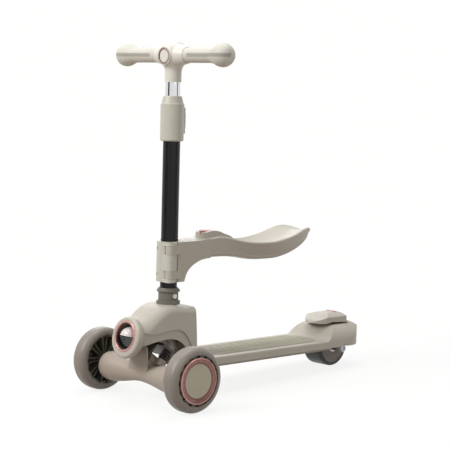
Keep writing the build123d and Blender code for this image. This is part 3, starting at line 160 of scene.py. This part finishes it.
# Rubbed edges: where a rounded normal leaves the flat one, broken up by noise.
def makeEdgeWear():
    group, start, end = newGroup(
        "edgeWear",
        [("Colour", "NodeSocketColor", (0.5, 0.5, 0.5, 1)),
         ("Worn colour", "NodeSocketColor", (0.8, 0.8, 0.8, 1)),
         ("Amount", "NodeSocketFloat", 0.3)],
        [("Colour", "NodeSocketColor"), ("Mask", "NodeSocketFloat")])
    bevel = addNode(group, "ShaderNodeBevel", samples=4)
    bevel.inputs["Radius"].default_value = effectSizes["edgeRadius"]
    flat = addNode(group, "ShaderNodeNewGeometry")
    dot = addNode(group, "ShaderNodeVectorMath", operation="DOT_PRODUCT")
    group.links.new(bevel.outputs["Normal"], dot.inputs[0])
    group.links.new(flat.outputs["Normal"], dot.inputs[1])
    edge = mathNode(group, "SUBTRACT", 1.0, dot.outputs["Value"], clamp=True)
    edge = mathNode(group, "MULTIPLY", edge, effectSizes["edgeGain"], clamp=True)
    coordinate = addNode(group, "ShaderNodeTexCoord").outputs["Object"]
    patches = noiseAt(group, effectSizes["edgeScale"], coordinate, detail=5.0, roughness=0.7)
    broken = spread(group, patches, 0.0, 1.0)
    mask = mathNode(group, "MULTIPLY", mathNode(group, "MULTIPLY", edge, broken),
                    start.outputs["Amount"], clamp=True)
    group.links.new(mixColour(group, mask, start.outputs["Colour"], start.outputs["Worn colour"]),
                    end.inputs["Colour"])
    group.links.new(mask, end.inputs["Mask"])
    return group


# Thin dust that lies on what faces up, and dulls it.
def makeDust():
    group, start, end = newGroup(
        "liftedDust",
        [("Colour", "NodeSocketColor", (0.5, 0.5, 0.5, 1)),
         ("Roughness", "NodeSocketFloat", 0.5),
         ("Amount", "NodeSocketFloat", 0.1)],
        [("Colour", "NodeSocketColor"), ("Roughness", "NodeSocketFloat")])
    geometry = addNode(group, "ShaderNodeNewGeometry")
    split = addNode(group, "ShaderNodeSeparateXYZ")
    group.links.new(geometry.outputs["Normal"], split.inputs[0])
    upward = mathNode(group, "MULTIPLY", split.outputs["Z"], effectSizes["dustRise"], clamp=True)
    coordinate = addNode(group, "ShaderNodeTexCoord").outputs["Object"]
    patches = noiseAt(group, effectSizes["dustScale"], coordinate, detail=5.0, roughness=0.65)
    cloud = spread(group, patches, 0.1, 1.0)
    mask = mathNode(group, "MULTIPLY", mathNode(group, "MULTIPLY", upward, cloud),
                    start.outputs["Amount"], clamp=True)
    group.links.new(mixColour(group, mask, start.outputs["Colour"], effectSizes["dustColour"]),
                    end.inputs["Colour"])
    group.links.new(mathNode(group, "ADD", start.outputs["Roughness"],
                             mathNode(group, "MULTIPLY", mask, effectSizes["dustDulls"]), clamp=True),
                    end.inputs["Roughness"])
    return group


skinGroup = makeSkin()
wearGroup = makeEdgeWear()
dustGroup = makeDust()
print("shared effects built")


# Finishes: one row for each, in linear colour

# A linear colour from 0-255 sRGB values.
def hexColour(red, green, blue):
    def linear(value):
        part = value / 255
        return part / 12.92 if part <= 0.04045 else ((part + 0.055) / 1.055) ** 2.4
    return (linear(red), linear(green), linear(blue), 1)


finishes = {
    "shell": dict(colour=hexColour(186, 180, 168), worn=hexColour(206, 201, 190), wear=0.25,
                  drift=0.05, grain=1100, bump=0.05, shine=(0.36, 0.46), dust=0.05),
    "shellLight": dict(colour=hexColour(222, 219, 210), worn=hexColour(235, 232, 226), wear=0.2,
                       drift=0.04, grain=1100, bump=0.04, shine=(0.34, 0.44), dust=0.03),
    # Shell plastic painted darker and browner as the shade under the bonnet, for the truck beam
    "beamShade": dict(colour=hexColour(172, 160, 147), worn=hexColour(196, 186, 174), wear=0.25,
                 drift=0.06, grain=1100, bump=0.05, shine=(0.38, 0.48), dust=0.04),
    "sleeve": dict(colour=hexColour(196, 195, 182), worn=hexColour(214, 212, 202), wear=0.25,
                   drift=0.05, grain=1100, bump=0.05, shine=(0.36, 0.46), dust=0.03),
    "mat": dict(colour=hexColour(170, 167, 146), worn=hexColour(186, 184, 168), wear=0.2,
                drift=0.12, grain=700, bump=0.18, shine=(0.62, 0.8), dust=0.12),
    "strip": dict(colour=hexColour(150, 142, 130), worn=hexColour(186, 180, 168), wear=0.35,
                  drift=0.08, grain=900, bump=0.06, shine=(0.4, 0.52), dust=0.05),
    "tubePaint": dict(colour=hexColour(20, 18, 18), worn=hexColour(60, 58, 56), wear=0.3,
                      drift=0.3, grain=500, bump=0.015, shine=(0.26, 0.36), dust=0.02, gloss=0.25),
    "chrome": dict(colour=hexColour(222, 222, 224), worn=hexColour(235, 235, 235), wear=0.1,
                   drift=0.04, grain=300, bump=0.01, shine=(0.05, 0.12), dust=0.02, metal=1.0),
    "collar": dict(colour=hexColour(112, 110, 98), worn=hexColour(150, 148, 136), wear=0.35,
                   drift=0.08, grain=1100, bump=0.06, shine=(0.38, 0.5), dust=0.05),
    "rose": dict(colour=hexColour(205, 150, 142), worn=hexColour(226, 186, 178), wear=0.4,
                 drift=0.08, grain=400, bump=0.01, shine=(0.16, 0.26), dust=0.02, metal=0.5, coat=0.3),
    "roseDull": dict(colour=hexColour(168, 146, 140), worn=hexColour(196, 180, 174), wear=0.3,
                     drift=0.08, grain=400, bump=0.01, shine=(0.2, 0.3), dust=0.02, metal=0.4, coat=0.2),
    # Darker rose with painted shade, for the recessed slope inside each wheel ring's lip
    "roseSlopeShade": dict(colour=hexColour(128, 88, 80), worn=hexColour(168, 130, 122), wear=0.3,
                     drift=0.12, grain=400, bump=0.02, shine=(0.28, 0.4), dust=0.03, metal=0.3),
    "snap": dict(colour=hexColour(206, 204, 200), worn=hexColour(222, 220, 216), wear=0.3,
                 drift=0.06, grain=500, bump=0.01, shine=(0.18, 0.28), dust=0.02, metal=0.6),
    "button": dict(colour=hexColour(170, 84, 84), worn=hexColour(206, 140, 136), wear=0.35,
                   drift=0.1, grain=900, bump=0.02, shine=(0.2, 0.3), dust=0.02, coat=0.3),
    "lampDark": dict(colour=hexColour(30, 27, 26), worn=hexColour(80, 74, 70), wear=0.3,
                     drift=0.2, grain=900, bump=0.02, shine=(0.18, 0.3), dust=0.02, coat=0.4),
    "lampLight": dict(colour=hexColour(222, 208, 204), worn=hexColour(235, 226, 222), wear=0.1,
                      drift=0.05, grain=300, bump=0.02, shine=(0.18, 0.28), dust=0.02, coat=0.5),
    "frontTyre": dict(colour=hexColour(142, 134, 126), worn=hexColour(168, 160, 150), wear=0.3,
                      drift=0.14, grain=500, bump=0.05, shine=(0.3, 0.46), dust=0.08, soft=0.12),
    "rearTyre": dict(colour=hexColour(27, 24, 24), worn=hexColour(70, 66, 62), wear=0.3,
                     drift=0.25, grain=500, bump=0.06, shine=(0.3, 0.45), dust=0.06),
    "hub": dict(colour=hexColour(96, 94, 82), worn=hexColour(134, 130, 120), wear=0.35,
                drift=0.12, grain=900, bump=0.05, shine=(0.36, 0.5), dust=0.04),
    "rearHub": dict(colour=hexColour(130, 120, 112), worn=hexColour(176, 170, 160), wear=0.3,
                    drift=0.08, grain=900, bump=0.05, shine=(0.36, 0.5), dust=0.04),
    "cap": dict(colour=hexColour(188, 182, 162), worn=hexColour(208, 204, 190), wear=0.3,
                drift=0.05, grain=1100, bump=0.04, shine=(0.34, 0.44), dust=0.03),
    "darkMetal": dict(colour=hexColour(84, 74, 68), worn=hexColour(140, 132, 126), wear=0.3,
                      drift=0.14, grain=350, bump=0.03, shine=(0.36, 0.5), dust=0.05, metal=0.6),
    "zinc": dict(colour=hexColour(176, 176, 178), worn=hexColour(215, 215, 215), wear=0.3,
                 drift=0.12, grain=350, bump=0.03, shine=(0.26, 0.42), dust=0.04, metal=1.0),
    "grip": dict(colour=hexColour(208, 205, 194), worn=hexColour(222, 220, 212), wear=0.2,
                 drift=0.06, grain=800, bump=0.12, shine=(0.5, 0.66), dust=0.03),
    "gripStrip": dict(colour=hexColour(168, 164, 154), worn=hexColour(190, 186, 176), wear=0.2,
                      drift=0.1, grain=800, bump=0.14, shine=(0.52, 0.7), dust=0.04),
    "brakePad": dict(colour=hexColour(40, 38, 37), worn=hexColour(90, 86, 82), wear=0.4,
                     drift=0.3, grain=400, bump=0.25, shine=(0.6, 0.85), dust=0.06),
}


surfaceSizes = {"coatRoughness": 0.12, "grainDepth": 0.0004, "softRadius": (0.006, 0.005, 0.004)}


def makeFinish(name, colour, worn, wear, drift, grain, bump, shine, dust, metal=0.0, coat=0.0, soft=0.0,
               gloss=0.5):
    material = bpy.data.materials.new(name)
    material.use_nodes = True
    tree = material.node_tree
    shader = tree.nodes["Principled BSDF"]
    shader.inputs["Metallic"].default_value = metal
    shader.inputs["Specular IOR Level"].default_value = gloss
    shader.inputs["Coat Weight"].default_value = coat
    shader.inputs["Coat Roughness"].default_value = surfaceSizes["coatRoughness"]
    if soft:
        shader.inputs["Subsurface Weight"].default_value = soft
        shader.inputs["Subsurface Radius"].default_value = surfaceSizes["softRadius"]
        shader.inputs["Subsurface Scale"].default_value = 1.0
    skin = addNode(tree, "ShaderNodeGroup", node_tree=skinGroup)
    skin.inputs["Colour"].default_value = colour
    skin.inputs["Tone drift"].default_value = drift
    skin.inputs["Grain scale"].default_value = grain
    skin.inputs["Shine low"].default_value, skin.inputs["Shine high"].default_value = shine
    rubbed = addNode(tree, "ShaderNodeGroup", node_tree=wearGroup)
    rubbed.inputs["Worn colour"].default_value = worn
    rubbed.inputs["Amount"].default_value = wear
    dusty = addNode(tree, "ShaderNodeGroup", node_tree=dustGroup)
    dusty.inputs["Amount"].default_value = dust
    relief = addNode(tree, "ShaderNodeBump")
    relief.inputs["Strength"].default_value = bump
    relief.inputs["Distance"].default_value = surfaceSizes["grainDepth"]
    tree.links.new(skin.outputs["Colour"], rubbed.inputs["Colour"])
    tree.links.new(rubbed.outputs["Colour"], dusty.inputs["Colour"])
    tree.links.new(skin.outputs["Roughness"], dusty.inputs["Roughness"])
    tree.links.new(dusty.outputs["Colour"], shader.inputs["Base Color"])
    tree.links.new(dusty.outputs["Roughness"], shader.inputs["Roughness"])
    tree.links.new(skin.outputs["Height"], relief.inputs["Height"])
    tree.links.new(relief.outputs["Normal"], shader.inputs["Normal"])
    return material


materials = {name: makeFinish(name, **values) for name, values in finishes.items()}

slotFinish = {"shell": "shell", "mat": "mat", "strip": "strip", "black_tube": "tubePaint",
              "chrome": "chrome", "collar": "collar", "rose": "rose", "button": "button",
              "lamp_dark": "lampDark", "lamp_light": "lampLight", "front_tyre": "frontTyre",
              "rear_tyre": "rearTyre", "hub": "hub", "cap": "cap", "steel": "zinc", "grip": "grip",
              "grip_strip": "gripStrip", "brake_pad": "brakePad"}
# The truck beam takes the shell copy with painted shade under the bonnet.
ownFinish = {"handlebar_hub": "shellLight", "badge_disc": "shellLight", "height_sleeve": "sleeve",
             "seat_clamp": "sleeve", "rear_hub": "rearHub", "truck_beam": "beamShade", "badge_ring": "roseDull",
             "snap_button": "snap", "truck_bracket": "darkMetal", "steering_pin": "darkMetal",
             "centring_spring_left": "darkMetal", "centring_spring_right": "darkMetal"}

for part in frame["record"]["subparts"]:
    node = nodes[part["node"]]
    finish = ownFinish.get(part["node"], slotFinish[part["material_slot"]])
    node.data.materials.clear()
    node.data.materials.append(materials[finish])
    for face in node.data.polygons:
        face.material_index = 0

# The slope inside the lip of each wheel's ring gets a darker rose, painted shade for the recess below the
# lip
slopeRadius = 0.0402
for wheel in ("left", "right"):
    ring = nodes[wheel + "_wheel_ring"]
    low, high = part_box(wheel + "_wheel_ring")
    ring.data.materials.append(materials["roseSlopeShade"])
    for face in ring.data.polygons:
        spot = face.center - (low + high) / 2
        if math.hypot(spot[1], spot[2]) < slopeRadius:
            face.material_index = 1
print("finishes given:", len(materials))


# Gives the finished bmesh its own object in the scene.
def meshObject(name, mesh):
    data = bpy.data.meshes.new(name)
    mesh.to_mesh(data)
    mesh.free()
    piece = bpy.data.objects.new(name, data)
    bpy.context.scene.collection.objects.link(piece)
    return piece


# Small fasteners

# The head's profile gives shares of its radius and height, from its seat to its top.
screwSizes = {"headRadius": 0.0042, "headHeight": 0.0014, "sides": 32,
              "profile": ((1.0, 0.0), (1.0, 0.45), (0.93, 0.75), (0.78, 0.93), (0.6, 1.0))}


# A plain pan head, its seat at place and its top along axis.
def makeScrew(name, place, axis):
    mesh = bmesh.new()
    turns = [2 * math.pi * i / screwSizes["sides"] for i in range(screwSizes["sides"])]
    rings = []
    for share, level in screwSizes["profile"]:
        radius, height = screwSizes["headRadius"] * share, screwSizes["headHeight"] * level
        rings.append([mesh.verts.new((radius * math.cos(turn), radius * math.sin(turn), height))
                      for turn in turns])
    for low, high in zip(rings, rings[1:]):
        for i in range(len(low)):
            j = (i + 1) % len(low)
            mesh.faces.new((low[i], low[j], high[j], high[i]))
    mesh.faces.new(list(reversed(rings[0])))
    mesh.faces.new(rings[-1])
    screw = meshObject(name, mesh)
    for face in screw.data.polygons:
        face.use_smooth = len(face.vertices) == 4
    turn = Vector((0, 0, 1)).rotation_difference(Vector(axis).normalized()).to_matrix().to_4x4()
    screw.data.transform(Matrix.Translation(place) @ turn)
    screw.data.materials.append(materials["zinc"])
    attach(screw, "frame")


# The bottom cover leans back with the deck; its lowest corner lies at its rear end.
baseScrews = {"sides": 0.046, "along": (0.16, 0.48, 0.76), "rake": math.radians(2.0)}


def makeBaseScrews():
    low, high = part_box("deck_base")
    rake = baseScrews["rake"]
    for i, share in enumerate(baseScrews["along"]):
        y = low[1] + (high[1] - low[1]) * share
        z = low[2] + (high[1] - y) * math.tan(rake)
        for side, x in (("Left", baseScrews["sides"]), ("Right", -baseScrews["sides"])):
            makeScrew(f"baseScrew{side}{i}", (x, y, z), (0, -math.sin(rake), -math.cos(rake)))


# The slope of a ring runs inwards and falls back from the foot of its lip.
tickSizes = {"count": 56, "inner": 0.0345, "outer": 0.0388, "width": 0.0011, "rise": 0.0006, "depth": 0.0042,
             "slopeFoot": 0.0394, "slopeSink": 0.0011, "slopeFall": 0.0015 / 0.0084}


# Fine raised ticks round the slope of a wheel's ring, like those of a moulded trim.
def makeRingTicks(name, wheel, body):
    low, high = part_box(wheel + "_wheel_ring")
    side = 1 if wheel == "left" else -1
    centre = (low + high) / 2
    face = high[0] if side > 0 else low[0]
    mesh = bmesh.new()
    inner, outer, half = tickSizes["inner"], tickSizes["outer"], tickSizes["width"] / 2
    for i in range(tickSizes["count"]):
        turn = 2 * math.pi * i / tickSizes["count"]
        out = Vector((0, math.cos(turn), math.sin(turn)))
        across = Vector((0, -math.sin(turn), math.cos(turn)))
        corners = []
        for depth in (tickSizes["depth"], 0.0):
            for radius in (inner, outer):
                drop = tickSizes["slopeSink"] + tickSizes["slopeFall"] * (tickSizes["slopeFoot"] - radius)
                drop += depth - tickSizes["rise"]
                for sign in (-1, 1):
                    spot = out * radius + across * sign * half
                    corner = (face - side * drop, centre[1] + spot[1], centre[2] + spot[2])
                    corners.append(mesh.verts.new(corner))
        a, b, c, d, e, f, g, h = corners
        for quad in ((a, b, d, c), (e, g, h, f), (a, e, f, b), (c, d, h, g), (a, c, g, e), (b, f, h, d)):
            mesh.faces.new(quad)
    bmesh.ops.recalc_face_normals(mesh, faces=mesh.faces)
    ticks = meshObject(name, mesh)
    ticks.data.materials.append(materials["rose"])
    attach(ticks, body)


makeBaseScrews()
makeRingTicks("leftRingTicks", "left", "left_front_wheel")
makeRingTicks("rightRingTicks", "right", "right_front_wheel")
print("small pieces built")


# Floor, lamps and camera

# The glow fades to full between two distances from the scooter, so that the floor's edge can't be seen.
stageSizes = {"floorHalf": 6.0, "white": 1.0, "glow": 0.86, "fadeFrom": 0.45, "fadeTo": 0.95,
              "paper": (0.86, 0.86, 0.85, 1), "paperRoughness": 0.9, "bounce": (0.34, 0.28, 0.23, 1),
              "daylight": (1, 1, 0.995, 1), "sky": (1, 1, 1, 1), "skyStrength": 0.42}


# One for a ray that shows the floor or the sky directly, by a mirror or through glass, else zero.
def directRay(tree):
    path = addNode(tree, "ShaderNodeLightPath")
    seen = mathNode(tree, "MAXIMUM", path.outputs["Is Camera Ray"], path.outputs["Is Glossy Ray"])
    return mathNode(tree, "MAXIMUM", seen, path.outputs["Is Transmission Ray"])


# A floor that is white to the camera and holds the shadow near the scooter, before a white sky.
def makeStage():
    floor = min(cadBounds[0][2], 0.0)
    mesh = bmesh.new()
    half = stageSizes["floorHalf"]
    corners = [(-half, -half), (half, -half), (half, half), (-half, half)]
    mesh.faces.new([mesh.verts.new((x, y, floor)) for x, y in corners])
    sheet = meshObject("studioFloor", mesh)
    material = bpy.data.materials.new("studioPaper")
    material.use_nodes = True
    tree = material.node_tree
    shader = tree.nodes["Principled BSDF"]
    shader.inputs["Roughness"].default_value = stageSizes["paperRoughness"]
    shader.inputs["Specular IOR Level"].default_value = 0.0
    glow = addNode(tree, "ShaderNodeEmission")
    glow.inputs["Color"].default_value = stageSizes["daylight"]
    glow.inputs["Strength"].default_value = stageSizes["white"]
    seen = directRay(tree)
    paper = mixColour(tree, seen, stageSizes["bounce"], stageSizes["paper"])
    tree.links.new(paper, shader.inputs["Base Color"])
    away = addNode(tree, "ShaderNodeVectorMath", operation="LENGTH")
    tree.links.new(addNode(tree, "ShaderNodeTexCoord").outputs["Object"], away.inputs[0])
    fade = addNode(tree, "ShaderNodeMapRange", interpolation_type="SMOOTHSTEP")
    fade.inputs["From Min"].default_value = stageSizes["fadeFrom"]
    fade.inputs["From Max"].default_value = stageSizes["fadeTo"]
    fade.inputs["To Min"].default_value = stageSizes["glow"]
    tree.links.new(away.outputs["Value"], fade.inputs["Value"])
    share = mathNode(tree, "MULTIPLY", seen, fade.outputs["Result"])
    mix = addNode(tree, "ShaderNodeMixShader")
    tree.links.new(share, mix.inputs[0])
    tree.links.new(shader.outputs[0], mix.inputs[1])
    tree.links.new(glow.outputs[0], mix.inputs[2])
    tree.links.new(mix.outputs[0], tree.nodes["Material Output"].inputs["Surface"])
    sheet.data.materials.append(material)

    world = bpy.data.worlds.new("studioSky")
    bpy.context.scene.world = world
    world.use_nodes = True
    tree = world.node_tree
    seen = directRay(tree)
    bright = addNode(tree, "ShaderNodeBackground")
    bright.inputs["Color"].default_value = stageSizes["daylight"]
    soft = tree.nodes["Background"]
    soft.inputs["Color"].default_value = stageSizes["sky"]
    soft.inputs["Strength"].default_value = stageSizes["skyStrength"]
    mix = addNode(tree, "ShaderNodeMixShader")
    tree.links.new(seen, mix.inputs[0])
    tree.links.new(soft.outputs[0], mix.inputs[1])
    tree.links.new(bright.outputs[0], mix.inputs[2])
    tree.links.new(mix.outputs[0], tree.nodes["World Output"].inputs["Surface"])


lampAim = (0, 0.0, 0.3)
lampSizes = {
    "key": dict(place=(-0.7, -2.7, 2.3), size=1.5, power=76),
    "fill": dict(place=(2.9, -0.4, 1.4), size=1.6, power=12),
    "top": dict(place=(-0.2, 0.2, 3.0), size=1.8, power=38),
    "back": dict(place=(-2.4, 1.6, 1.6), size=1.4, power=12),
}


def makeLamps():
    aim = Vector(lampAim)
    for name, values in lampSizes.items():
        data = bpy.data.lights.new(name + "Lamp", "AREA")
        data.size = values["size"]
        data.energy = values["power"]
        lamp = bpy.data.objects.new(name + "Lamp", data)
        lamp.location = values["place"]
        lamp.rotation_euler = (aim - lamp.location).to_track_quat("-Z", "Y").to_euler()
        bpy.context.scene.collection.objects.link(lamp)


cardPaint = {"colour": (0.015, 0.014, 0.014, 1), "roughness": 1.0}
cardPlaces = {
    "leftCard": dict(middle=(-0.42, -1.75, 0.75), half=0.36, high=1.5),
    "rightCard": dict(middle=(1.75, 1.05, 0.7), half=0.3, high=1.4),
}


# Dark cards beside the camera, seen only in reflections, where they bring out metal and black paint.
def makeCards():
    material = bpy.data.materials.new("darkCard")
    material.use_nodes = True
    shader = material.node_tree.nodes["Principled BSDF"]
    shader.inputs["Base Color"].default_value = cardPaint["colour"]
    shader.inputs["Roughness"].default_value = cardPaint["roughness"]
    shader.inputs["Specular IOR Level"].default_value = 0.0
    for name, values in cardPlaces.items():
        middle = Vector(values["middle"])
        across = Vector((-middle[1], middle[0], 0)).normalized() * values["half"]
        upward = Vector((0, 0, values["high"] / 2))
        mesh = bmesh.new()
        mesh.faces.new([mesh.verts.new(middle + across * a + upward * b)
                        for a, b in ((-1, -1), (1, -1), (1, 1), (-1, 1))])
        card = meshObject(name, mesh)
        card.data.materials.append(material)
        card.visible_camera = False
        card.visible_diffuse = False
        card.visible_shadow = False
        card.visible_transmission = False


cameraPlace = {"from": (2.08876, -1.964597, 0.64035), "azimuth": 47.35, "down": 6.594,
               "lens": 118.67, "sensor": 36.0}


def makeCamera():
    data = bpy.data.cameras.new("photoCamera")
    data.lens = cameraPlace["lens"]
    data.sensor_width = cameraPlace["sensor"]
    camera = bpy.data.objects.new("photoCamera", data)
    camera.location = cameraPlace["from"]
    turn, down = math.radians(cameraPlace["azimuth"]), math.radians(cameraPlace["down"])
    ahead = Vector((-math.sin(turn) * math.cos(down), math.cos(turn) * math.cos(down), -math.sin(down)))
    camera.rotation_euler = ahead.to_track_quat("-Z", "Y").to_euler()
    bpy.context.scene.collection.objects.link(camera)
    bpy.context.scene.camera = camera


makeStage()
makeLamps()
makeCards()
makeCamera()
bpy.context.scene.view_settings.view_transform = "Standard"
print("stage, lamps and camera set")
